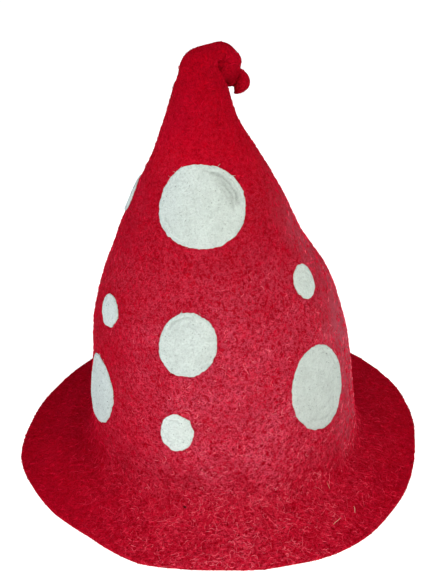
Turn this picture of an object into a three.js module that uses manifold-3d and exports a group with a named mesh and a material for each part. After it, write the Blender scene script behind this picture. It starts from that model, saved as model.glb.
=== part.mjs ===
// A felted sauna hat in the shape of a toadstool. Its body is one seamless piece of thick wool felt: a nearly flat
// brim, a tall crown that leans to the left, and a tip that is folded over to the right with its end curled out.
// White felt dots lie on the crown. Lengths are in millimetres, +Z is up and the front of the hat faces -Y. The hat
// rests on its rim, and the origin is in the middle of that resting face.

import * as THREE from "three";
import { mergeVertices } from "three/addons/utils/BufferGeometryUtils.js";
import Module from "manifold-3d";

const wasm = await Module();
wasm.setup();

// Driving dimensions
const FELT_WALL = 3; // thickness of the body's felt
const HEAD_RADIUS = 94.5; // inside of the crown, where the head goes in
const BRIM_WIDTH = 49.5; // from the outside of the crown to the rim
const BRIM_RISE = 6; // how much higher the brim's top lies beside the crown than at the rim
const RIM_FLAT = 6; // width of the band along the rim that lies flat
const RIM_ROUND = 1; // how far the rim's edge is rounded
const RIM_LIFT = 4; // highest wave of the rim above the resting face
const FLARE_RADIUS = 13; // bend from the outside of the crown into the brim's top
const NECK_HEIGHT = 280; // from the resting face to the neck, where the folded tip starts
const NECK_RADIUS = 17.5; // outside of the neck
const CROWN_LEAN = 16.3; // how far left the neck stands of the head opening's middle
const DENT_DEPTH = 3; // deepest hand-pressed hollow in the crown
const END_ROUND = 0.06; // rounding of the tip's ends, in neck radii
const HOLLOW_END = 6; // height of the dome that closes the hollow inside the neck
const DOT_WIDTH = 60; // the widest dot
const DOT_THICKNESS = 1; // felt of a dot, at its middle
const DOT_GAP = 0.5; // between the body and a dot's underside

// How finely the surfaces are divided
const AROUND = 48; // points round the brim and the crown
const TIP_AROUND = 24; // points round the folded tip
const DOT_AROUND = 28; // points round the widest dot
const FLARE_STEPS = 4;
const BRIM_STEPS = 4;
const CROWN_STEPS = 24;
const TIP_STEPS = 28;
const CURL_STEPS = 9;
const CREASE_STEPS = 5;
const DOME_STEPS = 3;

const shares = (steps) => Array.from({ length: steps + 1 }, (_, i) => i / steps);

const CROWN_RADIUS = HEAD_RADIUS + FELT_WALL;
const FLARE_TOP = FELT_WALL + BRIM_RISE + FLARE_RADIUS; // where the crown's wall starts
const FULL_TURN = 2 * Math.PI;

// The crown from its base (up 0) to the neck (up 1). wide is 1 at the crown's radius and 0 at the neck's.
// lean is the share of CROWN_LEAN that the section's middle has moved to the left.
const crownTable = [
  { up: 0.0, wide: 1.0, lean: 0.0 },
  { up: 0.109, wide: 0.983, lean: 0.13 },
  { up: 0.225, wide: 0.937, lean: 0.15 },
  { up: 0.341, wide: 0.888, lean: 0.29 },
  { up: 0.457, wide: 0.775, lean: 0.4 },
  { up: 0.574, wide: 0.591, lean: 0.66 },
  { up: 0.69, wide: 0.443, lean: 0.76 },
  { up: 0.806, wide: 0.245, lean: 0.79 },
  { up: 0.903, wide: 0.1, lean: 0.97 },
  { up: 1.0, wide: 0.0, lean: 1.0 },
];

// The rim's wavy outline. turn is the angle round the hat in degrees, from the right through the back,
// reach the share of BRIM_WIDTH and lift the share of RIM_LIFT.
const rimTable = [
  { turn: 0, reach: 0.93, lift: 0.6 },
  { turn: 20, reach: 0.99, lift: 1.0 },
  { turn: 40, reach: 0.98, lift: 0.8 },
  { turn: 65, reach: 0.98, lift: 0.1 },
  { turn: 90, reach: 0.98, lift: 0.0 },
  { turn: 120, reach: 1.0, lift: 0.0 },
  { turn: 150, reach: 0.96, lift: 0.0 },
  { turn: 172, reach: 1.02, lift: 0.0 },
  { turn: 195, reach: 1.1, lift: 0.0 },
  { turn: 222, reach: 0.99, lift: 0.0 },
  { turn: 252, reach: 1.03, lift: 0.0 },
  { turn: 274, reach: 0.96, lift: 0.0 },
  { turn: 300, reach: 1.03, lift: 0.0 },
  { turn: 335, reach: 0.93, lift: 0.0 },
];

// The rim's rounded edge from its underside to its top: inset is the share of RIM_ROUND and up that of FELT_WALL.
const rimEdge = [
  { inset: 1.0, up: 0.0 },
  { inset: 0.0, up: 0.35 },
  { inset: 0.0, up: 0.7 },
  { inset: 1.0, up: 1.0 },
];

// Shallow hollows of the crown. tall and wide are their half sizes, as a share of the crown's height and in degrees.
const dentTable = [
  { up: 0.62, turn: 305, depth: 0.8, tall: 0.12, wide: 24 },
  { up: 0.69, turn: 174, depth: 0.5, tall: 0.07, wide: 24 },
  { up: 0.45, turn: 120, depth: 0.8, tall: 0.15, wide: 30 },
];

// Sections of the tip, in neck radii from the neck's middle. tilt turns a section over to the right, in degrees,
// thick is its half thickness along the tilt and broad its half width from front to back.
// The fold goes up from the neck, over to the right and down behind the crown's right side.
const foldTable = [
  { right: 0.0, back: 0.0, up: 0.0, tilt: 0, thick: 1.0, broad: 1.0 },
  { right: -0.03, back: 0.0, up: 0.21, tilt: 0, thick: 0.87, broad: 0.88 },
  { right: -0.07, back: 0.0, up: 0.45, tilt: 1, thick: 0.76, broad: 0.77 },
  { right: -0.1, back: 0.0, up: 0.71, tilt: 2, thick: 0.69, broad: 0.7 },
  { right: -0.08, back: 0.0, up: 0.92, tilt: 4, thick: 0.62, broad: 0.64 },
  { right: -0.01, back: 0.02, up: 1.09, tilt: 11, thick: 0.55, broad: 0.59 },
  { right: 0.12, back: 0.03, up: 1.22, tilt: 18, thick: 0.45, broad: 0.55 },
  { right: 0.29, back: 0.05, up: 1.3, tilt: 27, thick: 0.33, broad: 0.51 },
  { right: 0.5, back: 0.06, up: 1.38, tilt: 49, thick: 0.22, broad: 0.48 },
  { right: 0.72, back: 0.08, up: 1.44, tilt: 87, thick: 0.19, broad: 0.46 },
  { right: 0.94, back: 0.13, up: 1.34, tilt: 124, thick: 0.22, broad: 0.44 },
  { right: 1.08, back: 0.2, up: 1.15, tilt: 151, thick: 0.27, broad: 0.42 },
  { right: 1.14, back: 0.29, up: 0.9, tilt: 169, thick: 0.37, broad: 0.4 },
  { right: 1.09, back: 0.41, up: 0.6, tilt: 178, thick: 0.41, broad: 0.38 },
  { right: 1.08, back: 0.56, up: 0.28, tilt: 180, thick: 0.36, broad: 0.34 },
  { right: 1.07, back: 0.72, up: -0.02, tilt: 180, thick: 0.28, broad: 0.26 },
  { right: 1.06, back: 0.81, up: -0.3, tilt: 180, thick: 0.19, broad: 0.15 },
];

// The curl, from the tip's end up to where it comes out from behind the fold.
const curlTable = [
  { right: 1.31, back: 0.67, up: -0.57, tilt: 8, thick: 0.11, broad: 0.09 },
  { right: 1.44, back: 0.73, up: -0.48, tilt: 4, thick: 0.23, broad: 0.2 },
  { right: 1.51, back: 0.78, up: -0.32, tilt: 2, thick: 0.32, broad: 0.28 },
  { right: 1.54, back: 0.81, up: -0.12, tilt: -1, thick: 0.33, broad: 0.3 },
  { right: 1.55, back: 0.77, up: 0.1, tilt: -2, thick: 0.25, broad: 0.28 },
  { right: 1.49, back: 0.7, up: 0.28, tilt: -5, thick: 0.17, broad: 0.22 },
  { right: 1.41, back: 0.6, up: 0.45, tilt: -2, thick: 0.09, broad: 0.12 },
];

// The felt behind the fold's deep recess, which joins the fold's two sides, from its foot up.
const creaseTable = [
  { right: 0.84, back: 0.83, up: -0.13, tilt: 0, thick: 0.2, broad: 0.18 },
  { right: 0.79, back: 0.8, up: 0.15, tilt: 0, thick: 0.3, broad: 0.26 },
  { right: 0.73, back: 0.69, up: 0.55, tilt: 0, thick: 0.31, broad: 0.28 },
  { right: 0.69, back: 0.51, up: 0.96, tilt: 0, thick: 0.31, broad: 0.26 },
  { right: 0.69, back: 0.34, up: 1.28, tilt: 0, thick: 0.23, broad: 0.18 },
];

// The dots. up is the height of the middle on the crown, turn its angle in degrees, width a share of DOT_WIDTH,
// tall the height as a share of the width and lean how far the oval is turned to the left, in degrees.
const dotTable = [
  { name: "dot_front_upper", up: 0.753, turn: 266.3, width: 1.0, tall: 0.91, lean: 5 },
  { name: "dot_front_middle", up: 0.433, turn: 256.6, width: 0.63, tall: 1.2, lean: -28 },
  { name: "dot_front_lower", up: 0.188, turn: 251, width: 0.4, tall: 1.21, lean: -12 },
  { name: "dot_right_upper", up: 0.521, turn: 330, width: 0.35, tall: 1.26, lean: -46 },
  { name: "dot_right_lower", up: 0.255, turn: 317.6, width: 0.87, tall: 1.21, lean: 7 },
  { name: "dot_left_middle", up: 0.437, turn: 207.6, width: 0.39, tall: 0.98, lean: 10 },
  { name: "dot_left_lower", up: 0.186, turn: 203.4, width: 0.74, tall: 1.19, lean: -8 },
  { name: "dot_left_upper", up: 0.69, turn: 170, width: 0.48, tall: 0.95, lean: 0 },
  { name: "dot_back_upper", up: 0.62, turn: 90, width: 0.85, tall: 1.0, lean: 0 },
  { name: "dot_back_middle", up: 0.4, turn: 125, width: 0.42, tall: 1.15, lean: 20 },
  { name: "dot_back_lower", up: 0.25, turn: 80, width: 0.65, tall: 1.1, lean: -15 },
  { name: "dot_back_left", up: 0.22, turn: 150, width: 0.85, tall: 1.0, lean: 0 },
  { name: "dot_back_right", up: 0.36, turn: 30, width: 0.6, tall: 1.12, lean: 25 },
];

// A dot's top surface from its middle to its edge: reach is the share of its half size, full that of its thickness.
const dotRings = [
  { reach: 0.35, full: 1.0 },
  { reach: 0.68, full: 1.0 },
  { reach: 0.92, full: 0.88 },
  { reach: 1.0, full: 0.5 },
];

// A column's value at a place between a table's rows, on a smooth curve through them. key is the column of places.
// With a period, the table goes round.
function columnAt(table, key, column, place, period = 0) {
  const inside = (i) => Math.min(Math.max(i, 0), table.length - 1);
  const row = (i) => table[period ? THREE.MathUtils.euclideanModulo(i, table.length) : inside(i)];
  const at = (i) => row(i)[key] + period * Math.floor(i / table.length);
  const where = period ? THREE.MathUtils.euclideanModulo(place, period) : place;
  let i = 0;
  while (i < table.length - (period ? 1 : 2) && at(i + 1) <= where) i++;
  const span = at(i + 1) - at(i);
  const slope = (j) => {
    const run = at(j + 1) - at(j - 1);
    return run ? (row(j + 1)[column] - row(j - 1)[column]) / run : 0;
  };
  const t = (where - at(i)) / span;
  const [a, b] = [row(i)[column], row(i + 1)[column]];
  const [ma, mb] = [slope(i) * span, slope(i + 1) * span];
  const rise = b - a;
  return a + t * (ma + t * (3 * rise - 2 * ma - mb + t * (ma + mb - 2 * rise)));
}

// How deep the hollows are at a place on the crown.
function dentAt(up, angle) {
  let depth = 0;
  for (const dent of dentTable) {
    const away = THREE.MathUtils.radToDeg(angle) - dent.turn;
    const aside = THREE.MathUtils.euclideanModulo(away + 180, 360) - 180;
    const above = up - dent.up;
    depth += dent.depth * Math.exp(-((above / dent.tall) ** 2) - (aside / dent.wide) ** 2);
  }
  return depth * DENT_DEPTH;
}

// A point on the outside of the crown.
function crownPoint(up, angle) {
  const wide = columnAt(crownTable, "up", "wide", up);
  const round = NECK_RADIUS + wide * (CROWN_RADIUS - NECK_RADIUS);
  const reach = round - dentAt(up, angle);
  const middle = -CROWN_LEAN * columnAt(crownTable, "up", "lean", up);
  const height = FLARE_TOP + up * (NECK_HEIGHT - FLARE_TOP);
  return new THREE.Vector3(middle + reach * Math.cos(angle), reach * Math.sin(angle), height);
}

const easeInOut = (t) => t * t * (3 - 2 * t);

// A point on the brim's top: t is 0 at the inner side of the flat band and 1 where the flare starts.
function brimPoint(t, angle) {
  const degrees = THREE.MathUtils.radToDeg(angle);
  const rim = CROWN_RADIUS + BRIM_WIDTH * columnAt(rimTable, "turn", "reach", degrees, 360);
  const outer = rim - RIM_FLAT;
  const inner = CROWN_RADIUS + FLARE_RADIUS;
  const reach = outer + t * (inner - outer);
  const height = FELT_WALL + rimLift(angle) * (1 - easeInOut(t)) + BRIM_RISE * easeInOut(t);
  return new THREE.Vector3(reach * Math.cos(angle), reach * Math.sin(angle), height);
}

function rimLift(angle) {
  const lift = columnAt(rimTable, "turn", "lift", THREE.MathUtils.radToDeg(angle), 360);
  return RIM_LIFT * Math.max(0, lift);
}

// A point on the round bend between brim and crown: t is 0 at the brim and 1 at the crown's wall.
function flarePoint(t, angle) {
  const bend = (1 - t) * (Math.PI / 2);
  const reach = CROWN_RADIUS + FLARE_RADIUS * (1 - Math.cos(bend)) - dentAt(0, angle) * t;
  const height = FLARE_TOP - FLARE_RADIUS * Math.sin(bend);
  return new THREE.Vector3(reach * Math.cos(angle), reach * Math.sin(angle), height);
}

// The surface's outward direction at a place, from its slopes along and round.
function outward(surface, t, angle) {
  const step = 1e-3;
  const [below, above] = [Math.max(t - step, 0), Math.min(t + step, 1)];
  const along = surface(above, angle).sub(surface(below, angle));
  const round = surface(t, angle + step).sub(surface(t, angle - step));
  return round.cross(along).normalize();
}

// A ring of points on a surface, or that far under it.
function ringOn(surface, t, under = 0) {
  return Array.from({ length: AROUND }, (_, i) => {
    const angle = (FULL_TURN * i) / AROUND;
    return surface(t, angle).addScaledVector(outward(surface, t, angle), -under);
  });
}

// A ring along the rim: inset from the outline, at a height above the felt's underside.
function rimRing(inset, height) {
  return Array.from({ length: AROUND }, (_, i) => {
    const angle = (FULL_TURN * i) / AROUND;
    const edge = brimPoint(0, angle).setZ(rimLift(angle) + height);
    const grow = RIM_FLAT - inset;
    return edge.add(new THREE.Vector3(Math.cos(angle), Math.sin(angle), 0).multiplyScalar(grow));
  });
}

// A tapering tube through a table's sections: its rings and the points where it starts and ends.
function tubeThrough(table, steps) {
  const neck = new THREE.Vector3(-CROWN_LEAN, 0, NECK_HEIGHT);
  const middles = table.map((row) => new THREE.Vector3(row.right, row.back, row.up));
  const shapes = table.map((row) => new THREE.Vector3(row.thick, row.broad, THREE.MathUtils.degToRad(row.tilt)));
  const path = new THREE.CatmullRomCurve3(middles, false, "catmullrom");
  const shape = new THREE.CatmullRomCurve3(shapes, false, "catmullrom");
  const place = (p) => p.multiplyScalar(NECK_RADIUS).add(neck);
  const rings = shares(steps).map((t) => {
    const { x: thick, y: broad, z: tilt } = shape.getPoint(t);
    return Array.from({ length: TIP_AROUND }, (_, i) => {
      const angle = (FULL_TURN * i) / TIP_AROUND;
      const out = new THREE.Vector3(thick * Math.cos(angle), broad * Math.sin(angle), 0);
      return place(out.applyAxisAngle(new THREE.Vector3(0, 1, 0), tilt).add(path.getPoint(t)));
    });
  });
  const past = (t, way) => place(path.getPoint(t).addScaledVector(path.getTangent(t), way * END_ROUND));
  return { start: past(0, -1), rings, end: past(1, 1) };
}

// Triangles between two rings, where the second has as many points as the first or half or twice as many.
function between(lower, upper) {
  const most = Math.max(lower.length, upper.length);
  const [a, b] = [lower.length / most, upper.length / most];
  const triangles = [];
  const pick = (ring, share, i) => ring[Math.floor(i * share) % ring.length];
  for (let i = 0; i < most; i++) {
    const [p, q] = [pick(lower, a, i), pick(lower, a, i + 1)];
    const [r, s] = [pick(upper, b, i), pick(upper, b, i + 1)];
    if (p !== q) triangles.push([p, q, s]);
    if (r !== s) triangles.push([p, s, r]);
  }
  return triangles;
}

// A closed solid from rings in order, with a point before the first and after the last.
function solidOf(start, rings, end) {
  const triangles = [];
  const around = (ring) => ring.map((p, i) => [p, ring[(i + 1) % ring.length]]);
  for (const [p, q] of around(rings[0])) triangles.push([start, q, p]);
  for (let i = 0; i + 1 < rings.length; i++) triangles.push(...between(rings[i], rings[i + 1]));
  for (const [p, q] of around(rings.at(-1))) triangles.push([end, p, q]);
  return new THREE.BufferGeometry().setFromPoints(triangles.flat());
}

// Closed solids joined into one.
function joined(geometries) {
  const solids = geometries.map((geometry) => {
    const merged = mergeVertices(geometry, 1e-4);
    const vertProperties = merged.getAttribute("position").array;
    const triVerts = new Uint32Array(merged.index.array);
    return new wasm.Manifold(new wasm.Mesh({ numProp: 3, vertProperties, triVerts }));
  });
  const mesh = solids.reduce((whole, solid) => whole.add(solid)).getMesh();
  const geometry = new THREE.BufferGeometry();
  geometry.setAttribute("position", new THREE.BufferAttribute(mesh.vertProperties, 3));
  geometry.setIndex([...mesh.triVerts]);
  return geometry.toNonIndexed();
}

// The body: from the top of the hollow down its inside, under the brim, round the rim, over the brim and up the crown
// to the end of the tip.
function bodyGeometry() {
  const crownSteps = shares(CROWN_STEPS);
  const flareSteps = shares(FLARE_STEPS).slice(0, -1);
  const brimSteps = shares(BRIM_STEPS).slice(0, -1);
  const outside = [
    ...brimSteps.map((t) => ringOn(brimPoint, t)),
    ...flareSteps.map((t) => ringOn(flarePoint, t)),
    ...crownSteps.map((t) => ringOn(crownPoint, t)),
  ];
  const inside = [
    ...brimSteps.slice(1).map((t) => ringOn(brimPoint, t, FELT_WALL)),
    ...flareSteps.map((t) => ringOn(flarePoint, t, FELT_WALL)),
    ...shares(CROWN_STEPS / 2).map((t) => ringOn(crownPoint, t, FELT_WALL)),
  ];
  const edge = rimEdge.map((row) => rimRing(row.inset * RIM_ROUND, row.up * FELT_WALL));
  const rim = [rimRing(RIM_FLAT, 0), ...edge];
  const top = inside.at(-1);
  const middle = new THREE.Vector3(-CROWN_LEAN, 0, NECK_HEIGHT);
  const dome = shares(DOME_STEPS)
    .slice(1, -1)
    .map((t) => {
      const [narrow, rise] = [Math.cos((t * Math.PI) / 2), HOLLOW_END * Math.sin((t * Math.PI) / 2)];
      return top.map((p) => p.clone().sub(middle).multiplyScalar(narrow).add(middle).setZ(p.z + rise));
    });
  const crest = middle.clone().setZ(NECK_HEIGHT + HOLLOW_END);
  const fold = tubeThrough(foldTable, TIP_STEPS);
  const curl = tubeThrough(curlTable, CURL_STEPS);
  const crease = tubeThrough(creaseTable, CREASE_STEPS);
  const inner = [...inside, ...dome].reverse();
  const shell = solidOf(crest, [...inner, ...rim, ...outside, ...fold.rings.slice(1)], fold.end);
  const closed = (tube) => solidOf(tube.start, tube.rings, tube.end);
  return joined([shell, closed(curl), closed(crease)]);
}

// A place on the crown at some millimetres aside from and above a dot's middle, that far off the surface. Its sides
// hang a little, so that a dot is an even oval to an eye that looks straight at its middle.
function onCrown(dot, aside, above, off) {
  const turn = THREE.MathUtils.degToRad(dot.turn);
  const step = 1e-3;
  const rise = crownPoint(dot.up + step, turn).distanceTo(crownPoint(dot.up - step, turn)) / (2 * step);
  const round = NECK_RADIUS + columnAt(crownTable, "up", "wide", dot.up) * (CROWN_RADIUS - NECK_RADIUS);
  const hang = (outward(crownPoint, dot.up, turn).z * aside ** 2) / (2 * round);
  const up = dot.up + (above - hang) / rise;
  const level = new THREE.Vector3(-CROWN_LEAN * columnAt(crownTable, "up", "lean", up), 0, 0);
  const start = crownPoint(up, turn);
  const angle = turn + aside / start.clone().setZ(0).distanceTo(level);
  return crownPoint(up, angle).addScaledVector(outward(crownPoint, up, angle), off);
}

// A dot: a thin oval pad that follows the crown, with its underside clear of the body and its edge rounded.
function dotGeometry(dot) {
  const halfWidth = (dot.width * DOT_WIDTH) / 2;
  const halfHeight = halfWidth * dot.tall;
  const lean = THREE.MathUtils.degToRad(dot.lean);
  const turned = { x: Math.cos(lean), y: Math.sin(lean) };
  const points = 2 * Math.round((DOT_AROUND / 2) * Math.max(dot.width, 0.5));
  const ring = (reach, off) =>
    Array.from({ length: points }, (_, i) => {
      const angle = (FULL_TURN * i) / points;
      const across = reach * halfWidth * Math.cos(angle);
      const along = reach * halfHeight * Math.sin(angle);
      const [aside, above] = [across * turned.x - along * turned.y, across * turned.y + along * turned.x];
      return onCrown(dot, aside, above, off);
    });
  const top = dotRings.map((row) => ring(row.reach, DOT_GAP + row.full * DOT_THICKNESS));
  const under = shares(dotRings.length).map((reach) => ring(reach, DOT_GAP));
  const middle = (off) => onCrown(dot, 0, 0, off);
  return solidOf(middle(DOT_GAP), [...under.slice(1), ...top.reverse()], middle(DOT_GAP + DOT_THICKNESS));
}

const redFelt = new THREE.MeshStandardMaterial({ color: 0xb01430, roughness: 0.95, metalness: 0 });
const whiteFelt = new THREE.MeshStandardMaterial({ color: 0xdde4dc, roughness: 0.95, metalness: 0 });

function piece(name, geometry, material) {
  geometry.computeVertexNormals();
  const mesh = new THREE.Mesh(geometry, material);
  mesh.name = name;
  return mesh;
}

const hat = new THREE.Group();
hat.add(piece("felt_body", bodyGeometry(), redFelt));
for (const dot of dotTable) hat.add(piece(dot.name, dotGeometry(dot), whiteFelt));

// The wavy rim's middle is moved to the origin.
const extent = new THREE.Box3().setFromObject(hat);
const middle = extent.getCenter(new THREE.Vector3());
hat.position.set(-middle.x, -middle.y, 0);

export default hat;
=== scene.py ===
"""A felted sauna hat in the shape of a toadstool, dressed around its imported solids.

The body is one seamless piece of red wool felt. White felt dots are felted on to the crown. Both are covered
with curly wool fibres. Tables give lengths in millimetres in the frame's axes; every mesh is in metres.
"""

import logging
import math
from dataclasses import dataclass
from enum import Enum, IntEnum
from typing import Callable, Sequence, Union

import bmesh
import bpy
import numpy as np
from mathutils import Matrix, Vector, noise
from mathutils.bvhtree import BVHTree


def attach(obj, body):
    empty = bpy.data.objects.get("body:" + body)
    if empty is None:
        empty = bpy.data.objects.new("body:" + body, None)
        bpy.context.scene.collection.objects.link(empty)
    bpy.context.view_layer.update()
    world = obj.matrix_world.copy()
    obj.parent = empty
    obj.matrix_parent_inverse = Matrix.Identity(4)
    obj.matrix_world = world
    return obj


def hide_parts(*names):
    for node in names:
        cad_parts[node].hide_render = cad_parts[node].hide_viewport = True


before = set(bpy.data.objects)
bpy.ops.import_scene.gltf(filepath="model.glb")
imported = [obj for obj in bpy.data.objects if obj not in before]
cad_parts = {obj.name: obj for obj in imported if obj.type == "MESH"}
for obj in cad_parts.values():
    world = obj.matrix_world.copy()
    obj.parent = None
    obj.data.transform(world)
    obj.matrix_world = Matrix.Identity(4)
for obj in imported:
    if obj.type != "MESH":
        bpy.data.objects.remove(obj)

log = logging.getLogger("sauna_hat")

MM = 0.001
BODY = "root"
SEED = 20
TINY = 1e-12
MERGED_WITHIN = 0.02 * MM
SHORTEST_EDGE = 0.1 * MM
JOINED_UP_TO = math.radians(50)
SKEWED_UP_TO = math.radians(70)

Colour = tuple[float, float, float]
Place = tuple[float, float, float]
Material = bpy.types.Material
Mesh = bpy.types.Mesh
Node = bpy.types.Node
Piece = bpy.types.Object
Socket = bpy.types.NodeSocket
Value = Union[Socket, float]
Weigh = Callable[[np.ndarray, np.ndarray], np.ndarray]


class Slot(Enum):
    """The record's material slots."""

    RED = "red_felt"
    WHITE = "white_felt"


class Side(Enum):
    """The side of the hat that a wrinkle lies on, as the sign of its normal's Y."""

    FRONT = -1
    BACK = 1


class Axis(IntEnum):
    """The frame's axes, as columns of a table of places."""

    RIGHT = 0
    BACK = 1
    UP = 2


@dataclass(frozen=True)
class NodeSheet:
    """Adds and wires the nodes of one node tree."""

    tree: bpy.types.NodeTree

    def add(self, kind: str, inputs: dict | None = None, **settings: object) -> Node:
        """Adds a node.

        Args:
            kind: the node's type, without its ShaderNode prefix, or a whole type name.
            inputs: a value or a socket to link, by input name or number.
            settings: the node's own properties.

        Returns:
            The node.
        """
        node = self.tree.nodes.new(kind if kind.startswith("Node") else "ShaderNode" + kind)
        for name, value in settings.items():
            setattr(node, name, value)
        self.feed(node, inputs or {})
        return node

    def feed(self, node: Node, inputs: dict) -> None:
        """Sets or links a node's inputs.

        Args:
            node: the node.
            inputs: a value or a socket to link, by input name or number.
        """
        for name, value in inputs.items():
            if isinstance(value, Socket):
                self.tree.links.new(value, node.inputs[name])
            else:
                node.inputs[name].default_value = value

    def math(self, operation: str, first: Value, second: Value = 0.0, third: Value = 0.0) -> Socket:
        """The result of a Math node on values or sockets."""
        return self.add("Math", {0: first, 1: second, 2: third}, operation=operation).outputs[0]

    def noise(self, vector: Socket, scale: Value, detail: float = 2.0, roughness: float = 0.5) -> Socket:
        """The value of a Noise texture whose features are about 1 / scale wide."""
        inputs = {"Vector": vector, "Scale": scale, "Detail": detail, "Roughness": roughness}
        return self.add("TexNoise", inputs).outputs["Fac"]

    def ramp(self, value: Socket, low: float, high: float) -> Socket:
        """A value that rises smoothly from 0 at low to 1 at high."""
        inputs = {"Value": value, "From Min": low, "From Max": high}
        return self.add("MapRange", inputs, interpolation_type="SMOOTHSTEP").outputs["Result"]

    def mix(self, share: Socket, first: Union[Socket, Colour], second: Union[Socket, Colour]) -> Socket:
        """A colour between two colours.

        Args:
            share: how much there is of the second colour, from 0 to 1.
            first: the colour at 0.
            second: the colour at 1.

        Returns:
            The colour's socket.
        """
        first, second = (one if isinstance(one, Socket) else (*one, 1.0) for one in (first, second))
        return self.add("Mix", {0: share, 6: first, 7: second}, data_type="RGBA").outputs[2]

    def attribute(self, name: str) -> Socket:
        """The value of the piece's own attribute."""
        return self.add("Attribute", attribute_name=name).outputs["Fac"]

    def millimetres(self) -> Socket:
        """The place on the piece, in millimetres."""
        place = self.add("TexCoord").outputs["Object"]
        return self.add("Mapping", {"Vector": place, "Scale": (1 / MM,) * 3}).outputs[0]


def new_material(name: str) -> tuple[Material, NodeSheet, Node]:
    """A new material, the sheet of its nodes, and its shader."""
    made = bpy.data.materials.new(name)
    made.use_nodes = True
    return made, NodeSheet(made.node_tree), made.node_tree.nodes["Principled BSDF"]


def new_group(name: str, values: Sequence[str], results: Sequence[str]) -> tuple[NodeSheet, dict, Node]:
    """A new node group that works on a vector and named values.

    Args:
        name: the group's name.
        values: the names of the values that go in, after the vector.
        results: the names of the values that come out.

    Returns:
        The sheet of its nodes, the sockets of what goes in by name, and the node that takes the results.
    """
    tree = bpy.data.node_groups.new(name, "ShaderNodeTree")
    tree.interface.new_socket("Vector", in_out="INPUT", socket_type="NodeSocketVector")
    for value in values:
        tree.interface.new_socket(value, in_out="INPUT", socket_type="NodeSocketFloat")
    for result in results:
        tree.interface.new_socket(result, in_out="OUTPUT", socket_type="NodeSocketFloat")
    sheet = NodeSheet(tree)
    source = sheet.add("NodeGroupInput")
    given = {socket.name: socket for socket in source.outputs if socket.name}
    return sheet, given, sheet.add("NodeGroupOutput")


@dataclass(frozen=True)
class WoolStrands:
    """Curly strands: thin bent lines, in several layers, each broken into short pieces.

    A layer is a turn in radians and how much finer its strands are. Its pattern is the lines along which a bent
    noise has its middle value.
    """

    layers: tuple[tuple[float, float], ...] = ((0.3, 1.0), (1.1, 1.3), (2.0, 0.8))
    tilt: tuple[float, float, float] = (1.0, 0.7, 1.3)
    shift: tuple[float, float, float] = (17.0, 5.0, 9.0)
    detail: float = 1.2
    roughness: float = 0.45
    bend: float = 0.35
    firmness: float = 1.8
    break_scale: float = 0.42
    break_edge: tuple[float, float] = (0.48, 0.6)

    def group(self) -> bpy.types.NodeTree:
        """The node group, with the strands' scale and width, and how many of them there are, as its values."""
        sheet, given, out = new_group("wool_strands", ["Scale", "Width", "Cover"], ["Strands"])
        parts = [self._layer(sheet, given, number) for number in range(len(self.layers))]
        whole = parts[0]
        for part in parts[1:]:
            whole = sheet.math("MAXIMUM", whole, part)
        sheet.feed(out, {"Strands": whole})
        return sheet.tree

    def _layer(self, sheet: NodeSheet, given: dict, number: int) -> Socket:
        """One layer of strands.

        Args:
            sheet: the group's nodes.
            given: what goes into the group.
            number: which layer it is.

        Returns:
            How much of a strand there is at each place, from 0 to 1.
        """
        turn, finer = self.layers[number]
        turned = tuple(turn * share for share in self.tilt)
        moved = (self.shift[0] * number, *self.shift[1:])
        inputs = {"Vector": given["Vector"], "Rotation": turned, "Location": moved}
        place = sheet.add("Mapping", inputs).outputs[0]
        inputs = {
            "Vector": place,
            "Scale": sheet.math("MULTIPLY", given["Scale"], finer),
            "Detail": self.detail,
            "Roughness": self.roughness,
            "Distortion": self.bend,
        }
        value = sheet.add("TexNoise", inputs).outputs["Fac"]
        away = sheet.math("ABSOLUTE", sheet.math("SUBTRACT", value, 0.5))
        line = sheet.math("SUBTRACT", 1.0, sheet.math("DIVIDE", away, given["Width"]))
        line = sheet.math("MULTIPLY", sheet.math("MAXIMUM", line, 0.0), self.firmness)
        broken = sheet.noise(place, self.break_scale, 1.0)
        kept = sheet.ramp(sheet.math("ADD", broken, given["Cover"]), *self.break_edge)
        return sheet.math("MULTIPLY", sheet.math("MINIMUM", line, 1.0), kept)


@dataclass(frozen=True)
class WoolClumps:
    """Soft matted clumps in three sizes, and the pits between them."""

    fine_weight: float = 0.5
    broad: tuple[tuple[float, float], ...] = ((0.4, 0.25), (0.14, 0.25))
    detail: float = 4.0
    roughness: float = 0.68
    clump_edge: tuple[float, float] = (0.38, 0.62)
    grain: float = 2.4
    pit_edge: tuple[float, float] = (0.46, 0.32)

    def group(self) -> bpy.types.NodeTree:
        """The node group, with the clumps' scale as its value."""
        sheet, given, out = new_group("wool_clumps", ["Scale"], ["Clumps", "Pits"])
        place, scale = given["Vector"], given["Scale"]
        fine = sheet.noise(place, scale, self.detail, self.roughness)
        whole = sheet.math("MULTIPLY", fine, self.fine_weight)
        for share, weight in self.broad:
            broad = sheet.noise(place, sheet.math("MULTIPLY", scale, share))
            whole = sheet.math("ADD", whole, sheet.math("MULTIPLY", broad, weight))
        grain = sheet.noise(place, sheet.math("MULTIPLY", scale, self.grain), 1.0)
        pits = [sheet.ramp(level, *self.pit_edge) for level in (fine, grain)]
        sheet.feed(out, {"Clumps": sheet.ramp(whole, *self.clump_edge), "Pits": sheet.math("MAXIMUM", *pits)})
        return sheet.tree


class Groups:
    """The shader node groups that more than one felt uses."""

    def __init__(self) -> None:
        """Builds each group once."""
        self.strands = WoolStrands().group()
        self.clumps = WoolClumps().group()


@dataclass(frozen=True)
class WornAndLitLook:
    """How a felt's raised nap with its painted sheen and shade, its curls and its painted rim light show."""

    # The pale colour of the raised nap and its painted sheen, then the colour of the painted rim light.
    raised: Colour
    painted_rim_colour: Colour
    nap_share: float = 0.07
    curl_gaps: float = 0.5
    least_strands: float = 0.05
    painted_rim_light_share: float = 0.8


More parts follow.
